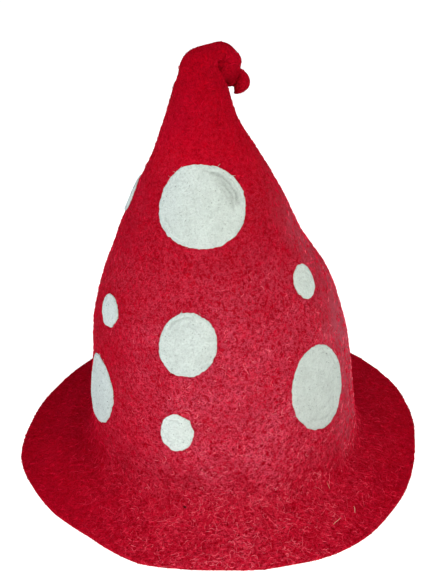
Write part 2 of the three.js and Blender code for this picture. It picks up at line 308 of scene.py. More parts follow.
@dataclass(frozen=True)
class FeltFinish:
    """Matted wool felt: ground colours, and strands that stand out of it."""

    name: str
    deep: Colour
    main: Colour
    pale: Colour
    strand: Colour
    strand_share: float
    strand_width: float
    cover: float
    gaps: float
    bump: float
    sheen: float
    sheen_tint: Colour
    worn_and_lit: WornAndLitLook | None = None
    clump_scale: float = 0.75
    strand_scale: float = 0.8
    drift_scale: float = 0.03
    drift_edge: tuple[float, float] = (0.35, 0.68)
    drift_share: float = 0.5
    strand_rise: float = 0.6
    pit_depth: float = 0.7
    grain_scale: float = 2.4
    grain_rise: float = 0.4
    bump_depth: float = 0.5
    roughness: tuple[float, float] = (1.0, 0.88)
    specular: float = 0.01
    sheen_roughness: float = 0.5

    def material(self, groups: Groups) -> Material:
        """The felt's material, scaled by its piece's tone, which on the dots holds painted light and shade.
        Worn felt reads the piece's nap with its painted sheen and shade, its curl, and its painted rim light
        too.

        Args:
            groups: the wool's node groups.

        Returns:
            The material.
        """
        made, sheet, shader = new_material(self.name)
        place = sheet.millimetres()
        inputs = {"Vector": place, "Scale": self.clump_scale}
        clumps = dict(sheet.add("Group", inputs, node_tree=groups.clumps).outputs.items())
        inputs = {"Vector": place, "Scale": self.strand_scale, "Width": self.strand_width, "Cover": self.cover}
        strands = sheet.add("Group", inputs, node_tree=groups.strands).outputs["Strands"]
        colour = self._colour(sheet, place, clumps, strands)
        scaled = sheet.add("VectorMath", {0: colour, "Scale": sheet.attribute("tone")}, operation="SCALE")
        level, worked = self.roughness
        rough = sheet.add("MapRange", {"Value": clumps["Clumps"], "To Min": level, "To Max": worked})
        height = self._height(sheet, place, clumps, strands)
        bump = sheet.add("Bump", {"Height": height, "Strength": self.bump, "Distance": self.bump_depth * MM})
        sheet.feed(shader, {
            "Base Color": scaled.outputs[0],
            "Roughness": rough.outputs["Result"],
            "Normal": bump.outputs["Normal"],
            "Specular IOR Level": self.specular,
            "Sheen Weight": self.sheen,
            "Sheen Roughness": self.sheen_roughness,
            "Sheen Tint": (*self.sheen_tint, 1.0),
        })
        return made

    def _colour(self, sheet: NodeSheet, place: Socket, clumps: dict, strands: Socket) -> Socket:
        """The felt's colour: its ground with dark gaps, and the strands on it.

        Args:
            sheet: the material's nodes.
            place: the place in millimetres.
            clumps: the clumps and the pits.
            strands: the strands.

        Returns:
            The colour's socket.
        """
        drift = sheet.ramp(sheet.noise(place, self.drift_scale, 3.0, 0.6), *self.drift_edge)
        ground = sheet.mix(sheet.math("MULTIPLY", drift, self.drift_share), self.main, self.pale)
        share = sheet.math("MULTIPLY", strands, self.strand_share)
        lit, open_share, worn_and_lit = self.strand, self.gaps, self.worn_and_lit
        if worn_and_lit:
            # The nap's pale colour is partly painted sheen and shade.
            nap_and_sheen, curl = sheet.attribute("nap_and_sheen"), sheet.attribute("curl")
            open_share = sheet.math("MULTIPLY_ADD", curl, worn_and_lit.curl_gaps, self.gaps)
            share = sheet.math("MULTIPLY", share, sheet.math("ADD", curl, worn_and_lit.least_strands))
            lit = sheet.mix(nap_and_sheen, self.strand, worn_and_lit.raised)
            ground = sheet.mix(sheet.math("MULTIPLY", nap_and_sheen, worn_and_lit.nap_share), ground, worn_and_lit.raised)
        for gap in (sheet.math("SUBTRACT", 1.0, clumps["Clumps"]), clumps["Pits"]):
            ground = sheet.mix(sheet.math("MULTIPLY", gap, open_share), ground, self.deep)
        colour = sheet.mix(share, ground, lit)
        # Painted rim light: a pale tint on the felt that faces the side of the tip.
        if worn_and_lit:
            painted_rim_light = sheet.math("MULTIPLY", sheet.attribute("painted_rim_light"), worn_and_lit.painted_rim_light_share)
            colour = sheet.mix(painted_rim_light, colour, worn_and_lit.painted_rim_colour)
        return colour

    def _height(self, sheet: NodeSheet, place: Socket, clumps: dict, strands: Socket) -> Socket:
        """The felt's relief, for its bump.

        Args:
            sheet: the material's nodes.
            place: the place in millimetres.
            clumps: the clumps and the pits.
            strands: the strands.

        Returns:
            The height's socket.
        """
        rise = sheet.math("ADD", sheet.math("MULTIPLY", strands, self.strand_rise), clumps["Clumps"])
        rise = sheet.math("SUBTRACT", rise, sheet.math("MULTIPLY", clumps["Pits"], self.pit_depth))
        grain = sheet.noise(place, self.grain_scale, 2.0, 0.7)
        return sheet.math("ADD", rise, sheet.math("MULTIPLY", grain, self.grain_rise))


@dataclass(frozen=True)
class FibreFinish:
    """Loose wool fibres, each of one shade between dark and light."""

    name: str
    shades: tuple[Colour, ...]
    patch_scale: float = 0.6
    patch_edge: tuple[float, float] = (0.0, 1.6)
    specular: float = 0.015

    def material(self) -> Material:
        """The fibres' material. Each fibre's shade is its piece's attribute."""
        made, sheet, shader = new_material(self.name)
        ramp = sheet.add("ValToRGB", {"Fac": sheet.attribute("shade")})
        elements = ramp.color_ramp.elements
        while len(elements) < len(self.shades):
            elements.new(0.5)
        for number, colour in enumerate(self.shades):
            elements[number].position = number / (len(self.shades) - 1)
            elements[number].color = (*colour, 1.0)
        smooth = sheet.ramp(sheet.noise(sheet.millimetres(), self.patch_scale), *self.patch_edge)
        sheet.feed(shader, {
            "Base Color": ramp.outputs["Color"],
            "Roughness": sheet.math("SUBTRACT", 1.0, smooth),
            "Specular IOR Level": self.specular,
        })
        return made


def new_piece(name: str, data: bpy.types.ID) -> Piece:
    """A new object of a mesh, a light or a camera, at the origin."""
    piece = bpy.data.objects.new(name, data)
    bpy.context.scene.collection.objects.link(piece)
    return piece


def dress(mesh: Mesh, finish: Material) -> None:
    """Gives the mesh its one material."""
    mesh.materials.clear()
    mesh.materials.append(finish)


def paint(mesh: Mesh, name: str, values: np.ndarray) -> None:
    """Keeps a value for each vertex as the mesh's attribute."""
    mesh.attributes.new(name, "FLOAT", "POINT").data.foreach_set("value", values.astype(np.float32))


def merged_copy(node: str) -> bmesh.types.BMesh:
    """A CAD node's mesh with its loose triangles merged and joined into quads.

    Args:
        node: the node's name.

    Returns:
        The mesh as a new bmesh.
    """
    bm = bmesh.new()
    bm.from_mesh(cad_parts[node].data)
    bmesh.ops.remove_doubles(bm, verts=bm.verts, dist=MERGED_WITHIN)
    bmesh.ops.dissolve_degenerate(bm, edges=bm.edges, dist=SHORTEST_EDGE)
    bmesh.ops.join_triangles(
        bm, faces=bm.faces, angle_face_threshold=JOINED_UP_TO, angle_shape_threshold=SKEWED_UP_TO
    )
    return bm


def subdivided(name: str, bm: bmesh.types.BMesh, levels: int, rounds: int = 3) -> Piece:
    """A new piece from a bmesh, with a subdivision surface that still runs through the bmesh's own vertices.

    Args:
        name: the piece's name.
        bm: its mesh, which is freed.
        levels: how often it is subdivided.
        rounds: how often the cage is moved out by what the subdivision has moved in.

    Returns:
        The piece, at the origin.
    """
    mesh = bpy.data.meshes.new(name)
    bm.to_mesh(mesh)
    bm.free()
    piece = new_piece(name, mesh)
    rounding = piece.modifiers.new("rounding", "SUBSURF")
    rounding.levels = rounding.render_levels = levels
    wanted = places_of(mesh)
    cage = wanted.copy()
    for _ in range(rounds):
        reached = rounded_copy(piece)
        cage += wanted - places_of(reached)[: len(wanted)]
        bpy.data.meshes.remove(reached)
        set_places(mesh, cage)
    piece.data = rounded_copy(piece)
    piece.data.name = name
    piece.modifiers.clear()
    bpy.data.meshes.remove(mesh)
    piece.data.polygons.foreach_set("use_smooth", [True] * len(piece.data.polygons))
    return piece


def rounded_copy(piece: Piece) -> Mesh:
    """The piece's mesh with its modifiers applied."""
    return bpy.data.meshes.new_from_object(piece.evaluated_get(bpy.context.evaluated_depsgraph_get()))


def places_of(mesh: Mesh) -> np.ndarray:
    """The mesh's vertices, one row each."""
    places = np.empty(len(mesh.vertices) * 3)
    mesh.vertices.foreach_get("co", places)
    return places.reshape(-1, 3)


def normals_of(mesh: Mesh) -> np.ndarray:
    """The mesh's vertex normals, one row each."""
    normals = np.empty(len(mesh.vertices) * 3)
    mesh.vertex_normals.foreach_get("vector", normals)
    return normals.reshape(-1, 3)


def set_places(mesh: Mesh, places: np.ndarray) -> None:
    """Moves the mesh's vertices."""
    mesh.vertices.foreach_set("co", places.astype(np.float32).ravel())
    mesh.update()


def noise_at(places: np.ndarray, size: float, shift: float = 0.0) -> np.ndarray:
    """Smooth noise from -1 to 1 at places in metres, with features about size millimetres wide."""
    scaled = places / (size * MM) + shift
    return np.array([noise.noise(Vector(row)) for row in scaled])


def unit(rows: np.ndarray) -> np.ndarray:
    """Each row as a vector of length 1."""
    return rows / np.maximum(np.linalg.norm(rows, axis=-1, keepdims=True), TINY)


def dots_of(rows: np.ndarray, others: np.ndarray) -> np.ndarray:
    """The scalar product of each row with the other's row."""
    return np.einsum("ij,ij->i", rows, others)


def rise(values: np.ndarray, low: float, high: float) -> np.ndarray:
    """Shares that rise evenly from 0 at low to 1 at high."""
    return np.clip((values - low) / (high - low), 0, 1)


@dataclass(frozen=True)
class Uneven:
    """A middle level with layers of smooth noise on it, each a share, a size in millimetres and a shift."""

    layers: tuple[tuple[float, float, float], ...]
    middle: float = 0.0
    low: float = -math.inf
    high: float = math.inf

    def at(self, places: np.ndarray) -> np.ndarray:
        """The level at places in metres."""
        level = self.middle
        for share, size, shift in self.layers:
            level = level + share * noise_at(places, size, shift)
        return np.clip(level, self.low, self.high)


@dataclass(frozen=True)
class WearAndLight:
    """How the wool's surface and its painted light and shade differ over the hat. Each table runs evenly along
    its axis's reach.
    """

    reach: tuple[tuple[float, float], ...] = ((-150.0, 150.0), (-150.0, 150.0), (0.0, 320.0))
    # The nap's tables also paint sheen and shade: paler low on the crown and in front, darker at the sides.
    nap_and_sheen_by_height: tuple[float, ...] = (0.12, 0.8, 1.15, 1.15, 0.85, 0.45, 0.14, 0.04, 0.02)
    nap_and_sheen_by_width: tuple[float, ...] = (0.1, 0.28, 0.58, 1.05, 0.8, 0.45, 0.3)
    nap_patches: Uneven = Uneven(((0.5, 26, 3.3), (0.3, 9, 6.1)), 1.0, 0.4, 1.7)
    curl_by_height: tuple[float, ...] = (1.0, 0.95, 0.85, 0.75, 0.65, 0.5, 0.32, 0.2, 0.12)
    curl_by_width: tuple[float, ...] = (0.2, 0.35, 0.85, 1.0, 1.0, 0.65, 0.3)
    curl_by_depth: tuple[float, ...] = (1.0, 1.0, 0.9, 0.8, 0.6, 0.5, 0.45)
    curl_patches: Uneven = Uneven(((0.35, 17, 9.7),), 1.0, 0.5, 1.4)
    tone_by_height: tuple[float, ...] = (0.98, 1.0, 1.0, 1.0, 1.0, 0.96, 1.15, 0.95, 0.92)
    tone_patches: Uneven = Uneven(((0.05, 16, 5.2),), 1.0)
    # Painted rim light: the felt that faces the side of the tip is painted paler.
    painted_rim_light_facing: tuple[float, float] = (0.7, 1.0)
    painted_rim_light_falls: float = 1.3
    painted_rim_light_by_height: tuple[float, ...] = (0.1, 0.75, 1.1, 1.2, 1.1, 0.5, 0.0, 0.0, 0.0)
    painted_rim_light_patches: Uneven = Uneven(((0.6, 30, 4.4), (0.35, 11, 0.0)), 0.95, 0.0, 1.2)

    def nap_and_sheen(self, places: np.ndarray) -> np.ndarray:
        """How pale the raised nap is, from 0 to about 1.7, at places in metres. It is partly painted sheen and
        shade: palest on the lower crown and the front, darker towards the sides and the tip.
        """
        even = self._level(places, Axis.UP, self.nap_and_sheen_by_height)
        even = even * self._level(places, Axis.RIGHT, self.nap_and_sheen_by_width)
        return even * self.nap_patches.at(places)

    def curl(self, places: np.ndarray) -> np.ndarray:
        """How many curls stand out of the felt, from 0 to about 1.4."""
        even = self._level(places, Axis.UP, self.curl_by_height)
        even = even * self._level(places, Axis.RIGHT, self.curl_by_width)
        even = even * self._level(places, Axis.BACK, self.curl_by_depth)
        return even * self.curl_patches.at(places)

    def tone(self, places: np.ndarray) -> np.ndarray:
        """How bright the felt is, as a factor: brightest at the neck, darkest in the tip."""
        return self._level(places, Axis.UP, self.tone_by_height) * self.tone_patches.at(places)

    def painted_rim_light(self, places: np.ndarray, normals: np.ndarray) -> np.ndarray:
        """How much painted rim light lies on the felt, from 0 to 1: only on the side of the crown that the tip
        is folded to, where the felt faces that way.
        """
        facing = rise(normals[:, 0], *self.painted_rim_light_facing) ** self.painted_rim_light_falls
        level = self._level(places, Axis.UP, self.painted_rim_light_by_height)
        return (places[:, 0] > 0) * np.minimum(facing * level * self.painted_rim_light_patches.at(places), 1)

    def _level(self, places: np.ndarray, axis: Axis, table: Sequence[float]) -> np.ndarray:
        """A table's level at each place, read along one axis."""
        return np.interp(places[:, axis] / MM, np.linspace(*self.reach[axis], len(table)), table)


class Skin:
    """A mesh's surface: points spread over it, and the nearest place on it."""

    clear: float = 0.3 * MM
    least_rise: float = 0.15

    def __init__(self, mesh: Mesh) -> None:
        """Reads the mesh's triangles."""
        self.points = places_of(mesh)
        self.normals = normals_of(mesh)
        mesh.calc_loop_triangles()
        corners = np.empty(len(mesh.loop_triangles) * 3, np.int32)
        mesh.loop_triangles.foreach_get("vertices", corners)
        self.triangles = corners.reshape(-1, 3)
        self.tree = BVHTree.FromPolygons(self.points.tolist(), self.triangles.tolist(), all_triangles=True)

    def _corners(self, triangles: np.ndarray) -> list[np.ndarray]:
        """The triangles' first, second and third corners."""
        return [self.points[triangles[:, corner]] for corner in range(3)]

    def nearest(self, points: np.ndarray) -> tuple[np.ndarray, np.ndarray]:
        """The nearest places on the surface, and its smooth normals there."""
        found = [self.tree.find_nearest(Vector(p)) for p in points]
        places = np.array([f[0] for f in found])
        return places, self._normal_at(places, np.array([f[2] for f in found]))

    def _normal_at(self, places: np.ndarray, faces: np.ndarray) -> np.ndarray:
        """The smooth normals at places in triangles.

        Args:
            places: the places.
            faces: the number of each place's triangle.

        Returns:
            The normals, mixed from those of the triangles' corners.
        """
        triangles = self.triangles[faces]
        a, b, c = self._corners(triangles)
        whole = np.cross(b - a, c - a)
        size = np.maximum(dots_of(whole, whole), TINY * TINY)
        first = dots_of(np.cross(c - b, places - b), whole) / size
        second = dots_of(np.cross(a - c, places - c), whole) / size
        shares = np.clip(np.stack([first, second, 1 - first - second], 1), 0, 1)
        return unit(np.einsum("ij,ijk->ik", shares, self.normals[triangles]))

    def scatter(self, draws: np.random.Generator, count: int, weigh: Weigh) -> tuple[np.ndarray, np.ndarray]:
        """Random places on the surface.

        Args:
            draws: the source of random numbers.
            count: how many places.
            weigh: gives each triangle's weight from its middle and its normal.

        Returns:
            The places and the smooth normals there.
        """
        a, b, c = self._corners(self.triangles)
        whole = np.cross(b - a, c - a)
        areas = np.linalg.norm(whole, axis=1) / 2
        weights = areas * weigh((a + b + c) / 3, unit(whole))
        faces = draws.choice(len(weights), count, p=weights / weights.sum())
        one, two = draws.random(count), draws.random(count)
        over = one + two > 1
        one[over], two[over] = 1 - one[over], 1 - two[over]
        places = a[faces] + one[:, None] * (b - a)[faces] + two[:, None] * (c - a)[faces]
        return places, self._normal_at(places, faces)

    def open_to_sky(self, places: np.ndarray, normals: np.ndarray) -> np.ndarray:
        """Which places are on the outside: a level or rising ray from them meets nothing.

        Args:
            places: the places on the surface.
            normals: its normals there.

        Returns:
            True for each place on the outside.
        """
        starts = places + normals * self.clear
        ways = normals.copy()
        ways[:, 2] = np.maximum(ways[:, 2], self.least_rise)
        ways = unit(ways)
        return np.array([self.tree.ray_cast(Vector(p), Vector(w))[0] is None for p, w in zip(starts, ways)])


@dataclass(frozen=True)
class Wrinkle:
    """A soft groove between two points of a side of the hat, as seen from the front, in millimetres.

    It has its whole depth where the felt faces the front or the back by the share that full_facing gives.
    """

    side: Side
    start: tuple[float, float]
    end: tuple[float, float]
    depth: float
    width: float
    full_facing: float = 0.5

    def depths(self, places: np.ndarray, normals: np.ndarray) -> np.ndarray:
        """How deep the groove is.

        Args:
            places: places in metres.
            normals: the felt's normals there.

        Returns:
            The depth at each place, in metres.
        """
        flat = places[:, [Axis.RIGHT, Axis.UP]] / MM
        start, end = np.array(self.start), np.array(self.end)
        run = end - start
        along = np.clip((flat - start) @ run / (run @ run), 0, 1)
        away = np.linalg.norm(flat - start - along[:, None] * run, axis=1)
        facing = np.clip(normals[:, Axis.BACK] * self.side.value / self.full_facing, 0, 1)
        return self.depth * MM * np.exp(-((away / self.width) ** 2)) * facing


@dataclass(frozen=True)
class RimWave:
    """The low wave of the brim's outer part: how far the rim is moved out, by degrees round from the right."""

    points: tuple[tuple[float, float], ...] = (
        (180, 0.0), (191, 1.0), (204, 0.0), (218, 1.8), (232, -0.6), (248, 1.5), (258, -1.3), (268, -1.2),
        (281, 0.5), (288, -0.9), (300, 0.0), (311, 0.8), (322, 0.0), (332, 0.5), (353, -0.4), (363, 1.0),
        (373, -0.3), (386, -1.0), (400, 0.0),
    )
    starts: float = 118.0
    whole: float = 142.0

    def moved(self, places: np.ndarray) -> np.ndarray:
        """The places with the brim's outer part moved in and out."""
        angles, moves = zip(*self.points)
        turned = np.degrees(np.arctan2(places[:, 1], places[:, 0])) % 360
        move = np.interp(np.where(turned < angles[0], turned + 360, turned), angles, moves)
        far = np.linalg.norm(places[:, :2], axis=1) / MM
        share = rise(far, self.starts, self.whole)
        share = share * share * (3 - 2 * share)
        waved = places.copy()
        waved[:, :2] *= (1 + move * share / np.maximum(far, 1))[:, None]
        return waved


@dataclass(frozen=True)
class FoldFill:
    """Fills the deep valley in front of the folded tip, as far as a ball can't roll into it.

    Each vertex between the low and the high corner holds a ball on its normal. A ball that reaches into
    the felt is pushed out of it and forwards, and the vertex follows. Where no ball fits, vertices are relaxed.
    """

    ball: float = 8.0
    low: tuple[float, float, float] = (-14.0, -13.0, 280.0)
    high: tuple[float, float, float] = (6.0, 12.0, 303.5)
    whole_above: float = 286.0
    rounds: int = 50
    forwards: float = 0.25
    touching: float = 0.1
    room: float = 0.3
    blocked_over: float = 0.5
    backwards: float = 0.5
    changed_over: float = 0.3
    relax_rounds: int = 300
    smooth_rounds: int = 30

    def fill(self, mesh: Mesh) -> None:
        """Moves the mesh's vertices in the valley."""
        skin, places = Skin(mesh), places_of(mesh)
        low, high = np.array(self.low) * MM, np.array(self.high) * MM
        near = np.flatnonzero(np.all((places > low) & (places < high), axis=1))
        starts = places[near]
        size = self.ball * MM
        middles = starts + skin.normals[near] * size
        blocked = self._overlap(skin, middles)[0] > self.blocked_over * MM
        for _ in range(self.rounds):
            short, way = self._overlap(skin, middles)
            middles = middles + way * np.maximum(short, 0)[:, None]
            middles[:, 1] -= np.where(short > self.touching * MM, self.forwards * MM, 0)
        back = starts - middles
        moved = middles + unit(back) * np.minimum(np.linalg.norm(back, axis=1), size)[:, None]
        fits = (short < self.room * MM) & (moved[:, 1] < starts[:, 1] + self.backwards * MM)
        fades = rise(starts[:, 2], low[2], self.whole_above * MM)
        places[near] = starts + (moved - starts) * (fades * fits)[:, None]
        filled, left = np.zeros(len(places), bool), np.zeros(len(places), bool)
        filled[near] = np.linalg.norm(places[near] - starts, axis=1) > self.changed_over * MM
        left[near] = blocked & ~fits & (starts[:, 2] > self.whole_above * MM)
        places = self._smoothed(mesh, places, left, self.relax_rounds)
        set_places(mesh, self._smoothed(mesh, places, filled | left, self.smooth_rounds))

    def _overlap(self, skin: Skin, middles: np.ndarray) -> tuple[np.ndarray, np.ndarray]:
        """How far each ball reaches into the felt.

        Args:
            skin: the felt.
            middles: the balls' middles.

        Returns:
            How far each ball reaches in, and the way out.
        """
        found = [skin.tree.find_nearest(Vector(middle)) for middle in middles]
        away = middles - np.array([f[0] for f in found])
        side = np.where(dots_of(away, np.array([f[1] for f in found])) < 0, -1.0, 1.0)
        return self.ball * MM - side * np.array([f[3] for f in found]), unit(away) * side[:, None]

    def _smoothed(self, mesh: Mesh, places: np.ndarray, chosen: np.ndarray, rounds: int) -> np.ndarray:
        """The places with the chosen ones relaxed.

        Args:
            mesh: the mesh, for its edges.
            places: its vertices.
            chosen: True for each vertex that moves.
            rounds: how often it moves half way to the middle of its neighbours.

        Returns:
            The new places.
        """
        ends = np.empty(len(mesh.edges) * 2, np.int32)
        mesh.edges.foreach_get("vertices", ends)
        ends = ends.reshape(-1, 2)
        ends = ends[chosen[ends].any(axis=1)]
        count = np.maximum(np.bincount(ends.ravel(), minlength=len(places)), 1)[:, None]
        for _ in range(rounds):
            total = np.zeros_like(places)
            np.add.at(total, ends[:, 0], places[ends[:, 1]])
            np.add.at(total, ends[:, 1], places[ends[:, 0]])
            places = np.where(chosen[:, None], (places + total / count) / 2, places)
        return places


@dataclass(frozen=True)
class HatBody:
    """The seamless felt body: brim, crown and folded tip."""

    node: str = "felt_body"
    name: str = "wool_body"
    levels: int = 2
    inset: float = 0.35
    lumps: Uneven = Uneven(((0.5, 34, 0.0), (0.3, 11, 7.3), (0.15, 5.5, 3.1)))
    flat_up_to: float = 0.4
    lumpy_above: float = 2.9
    fold: FoldFill = FoldFill()
    rim: RimWave = RimWave()
    wrinkles: tuple[Wrinkle, ...] = (
        Wrinkle(Side.FRONT, (-20, 286), (-3, 285), 0.9, 1.5),
        Wrinkle(Side.FRONT, (-24, 298), (-14, 298), 0.5, 1.4),
        Wrinkle(Side.FRONT, (-17, 304), (-4, 302), 0.7, 1.6),
        Wrinkle(Side.FRONT, (-26, 270), (-2, 267), 0.5, 2.0),
        Wrinkle(Side.FRONT, (-20, 252), (6, 249), 0.35, 2.5),
        Wrinkle(Side.FRONT, (33, 190), (44, 168), 1.2, 9.0),
        Wrinkle(Side.FRONT, (12.5, 292), (8, 281), 1.0, 1.5),
        Wrinkle(Side.BACK, (-24, 284), (-4, 288), 0.9, 1.6),
        Wrinkle(Side.BACK, (-22, 271), (0, 268), 0.6, 2.2),
        Wrinkle(Side.BACK, (-18, 296), (-6, 299), 0.6, 1.6),
    )

    def build(self, finish: Material, wear_and_light: WearAndLight) -> Piece:
        """The dressed body.

        Args:
            finish: its material.
            wear_and_light: how its surface and its painted light and shade differ over the hat.

        Returns:
            The piece, which stands for the CAD body.
        """
        piece = subdivided(self.name, merged_copy(self.node), self.levels)
        mesh = piece.data
        self.fold.fill(mesh)
        places, normals = places_of(mesh), normals_of(mesh)
        lifted = rise(places[:, 2] / MM, self.flat_up_to, self.lumpy_above)
        move = (self.lumps.at(places) - self.inset) * MM * lifted
        for wrinkle in self.wrinkles:
            move -= wrinkle.depths(places, normals)
        places = self.rim.moved(places + normals * move[:, None])
        places[:, 2] = np.maximum(places[:, 2], 0)
        set_places(mesh, places)
        places, normals = places_of(mesh), normals_of(mesh)
        # The nap attribute holds painted sheen and shade as well; the third attribute is a painted rim light.
        paint(mesh, "nap_and_sheen", wear_and_light.nap_and_sheen(places))
        paint(mesh, "curl", wear_and_light.curl(places))
        paint(mesh, "painted_rim_light", wear_and_light.painted_rim_light(places, normals))
        paint(mesh, "tone", wear_and_light.tone(places))
        dress(mesh, finish)
        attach(piece, BODY)
        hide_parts(self.node)
        return piece


@dataclass(frozen=True)
class Crease:
    """A curved groove in a dot, round the dot's middle, with a low lip outside it.

    The way out is a share of the dot's radius. Angles are in degrees, from the dot's right, over its top.
    """

    way_out: float
    start: float
    end: float
    depth: float
    width: float = 0.8
    lip: float = 0.45
    lip_off: float = 1.7
    runs_to: float = 1.15
    fades_over: float = 0.4

    def depths(self, rounds: np.ndarray, angles: np.ndarray, radius: float, wander: np.ndarray) -> np.ndarray:
        """How deep the groove is.

        Args:
            rounds: how far out each place is, as a share of the radius.
            angles: each place's angle.
            radius: the dot's radius in millimetres.
            wander: how far the groove strays inwards there, in millimetres.

        Returns:
            The depth at each place, in millimetres.
        """
        off = (rounds - self.way_out) * radius + wander
        middle, half = (self.start + self.end) / 2, (self.end - self.start) / 2
        past = np.abs((angles - middle + 180) % 360 - 180) / half
        ends = np.clip((self.runs_to - past) / self.fades_over, 0, 1)
        lip = np.exp(-(((off - self.lip_off * self.width) / self.width) ** 2))
        return self.depth * (np.exp(-((off / self.width) ** 2)) - self.lip * lip) * ends


CREASES = {
    "dot_front_upper": (
        Crease(0.85, 5, 85, 0.9, 1.0), Crease(0.75, -8, 55, 0.7), Crease(0.93, 12, 60, 0.7),
        Crease(0.66, 12, 45, 0.5), Crease(0.78, 0, 75, 0.35, 3.5), Crease(0.86, 195, 240, 0.3),
        Crease(0.5, 100, 150, 0.15, 1.5),
    ),
    "dot_front_middle": (Crease(0.82, 85, 150, 0.55), Crease(0.6, 60, 110, 0.3), Crease(0.86, 300, 350, 0.3)),
    "dot_front_lower": (Crease(0.65, 70, 130, 0.4),),
    "dot_right_lower": (
        Crease(0.75, 230, 300, 0.5), Crease(0.5, 250, 330, 0.4), Crease(0.8, 20, 80, 0.4),
        Crease(0.35, 60, 120, 0.3),
    ),
    "dot_right_upper": (Crease(0.6, 10, 90, 0.3),),
    "dot_left_lower": (Crease(0.75, 120, 200, 0.4),),
    "dot_back_middle": (Crease(0.8, 30, 110, 0.5),),
    "dot_back_left": (Crease(0.8, 150, 230, 0.5),),
}

# Painted light: how much brighter some dots are painted, standing in for more light falling on them.
DOT_PAINTED_LIGHT = {
    "dot_front_lower": 1.18, "dot_right_upper": 1.07, "dot_left_middle": 1.04, "dot_front_middle": 1.02,
}

# The dots that the front view hardly shows are subdivided a level less.
COARSE_DOTS = ("dot_back", "dot_left_upper")


@dataclass(frozen=True)
class Dot:
    """A white dot felted on to the crown."""

    node: str
    gap: float = 0.5
    trim: float = 0.7
    levels: int = 3
    coarse_levels: int = 2
    ragged: float = 0.7
    ragged_layers: tuple[tuple[float, float], ...] = ((1.0, 5), (0.7, 1.8))
    ragged_shifts: tuple[float, ...] = (1.7, 4.1, 8.9)
    sink: float = 0.3
    swell: float = 1.35
    thinnest: float = 0.6
    lumps: Uneven = Uneven(((0.08, 4, 5.0), (0.15, 9, 2.0)))
    wander: Uneven = Uneven(((1.1, 6, 3.0),))
    patches: Uneven = Uneven(((0.05, 14, 2.2),), 1.0)
    # Painted shade in the creases, and a painted highlight on their lips.
    crease_shade: float = 0.3
    lip_highlight: float = 0.2

    def build(self, skin: Skin, solid: Skin, finish: Material) -> Piece:
        """The dot, seated on the dressed body.

        Args:
            skin: the dressed body.
            solid: the CAD body, which the CAD dot lies above.
            finish: the dot's material.

        Returns:
            The piece, which stands for the CAD dot.
        """
        levels = self.coarse_levels if self.node.startswith(COARSE_DOTS) else self.levels
        piece = subdivided("wool_" + self.node, merged_copy(self.node), levels)
        mesh = piece.data
        places = places_of(mesh)
        under, _ = solid.nearest(places)
        height = np.linalg.norm(places - under, axis=1) / MM - self.gap
        places += unit(places.mean(axis=0) - places) * self.trim * MM * self._way_out(places)[:, None]
        seats, out = skin.nearest(self._ragged(places, skin))
        grooves = self._grooves(places, out)
        swell = self.swell + (self.lumps.at(places) - grooves)
        lift = np.clip(height, 0, 1) * np.maximum(swell, self.thinnest) - self.sink
        set_places(mesh, seats + out * lift[:, None] * MM)
        # Painted shade in the creases and a painted highlight on the lips outside them, on top of the wool's
        # random patches.
        shade = self.patches.at(places) - self.crease_shade * np.clip(grooves, -self.lip_highlight, 1)
        paint(mesh, "tone", DOT_PAINTED_LIGHT.get(self.node, 1.0) * shade)
        dress(mesh, finish)
        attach(piece, BODY)
        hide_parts(self.node)
        return piece

    def _way_out(self, places: np.ndarray) -> np.ndarray:
        """How far out each place is, from 0 in the dot's middle to 1 at its edge."""
        far = np.linalg.norm(places - places.mean(axis=0), axis=1)
        return far / far.max()

    def _ragged(self, places: np.ndarray, skin: Skin) -> np.ndarray:
        """The places, moved a little along the crown, so that the dot's outline isn't even.

        Args:
            places: the dot's vertices.
            skin: the dressed body.

        Returns:
            The moved places.
        """
        _, out = skin.nearest(places)
        moves = []
        for shift in self.ragged_shifts:
            layers = tuple((share, size, shift) for share, size in self.ragged_layers)
            moves.append(Uneven(layers).at(places))
        wander = np.stack(moves, 1)
        wander -= out * dots_of(wander, out)[:, None]
        return places + wander * self.ragged * MM

    def _grooves(self, places: np.ndarray, out: np.ndarray) -> np.ndarray:
        """How deep the dot's creases are.

        Args:
            places: the dot's vertices.
            out: the crown's normals at them.

        Returns:
            The depth at each place, in millimetres.
        """
        facing = unit(out.mean(axis=0))
        right = unit(np.cross((0.0, 0.0, 1.0), facing))
        off = places - places.mean(axis=0)
        flat = np.stack([off @ right, off @ np.cross(facing, right)], 1)
        low, high = flat.min(axis=0), flat.max(axis=0)
        half = (high - low) / 2
        flat = (flat - (high + low) / 2) / half
        rounds, angles = np.linalg.norm(flat, axis=1), np.degrees(np.arctan2(flat[:, 1], flat[:, 0]))
        wander, whole = self.wander.at(places), np.zeros(len(places))
        for crease in CREASES.get(self.node, ()):
            whole = whole + crease.depths(rounds, angles, half.mean() / MM, wander)
        return whole


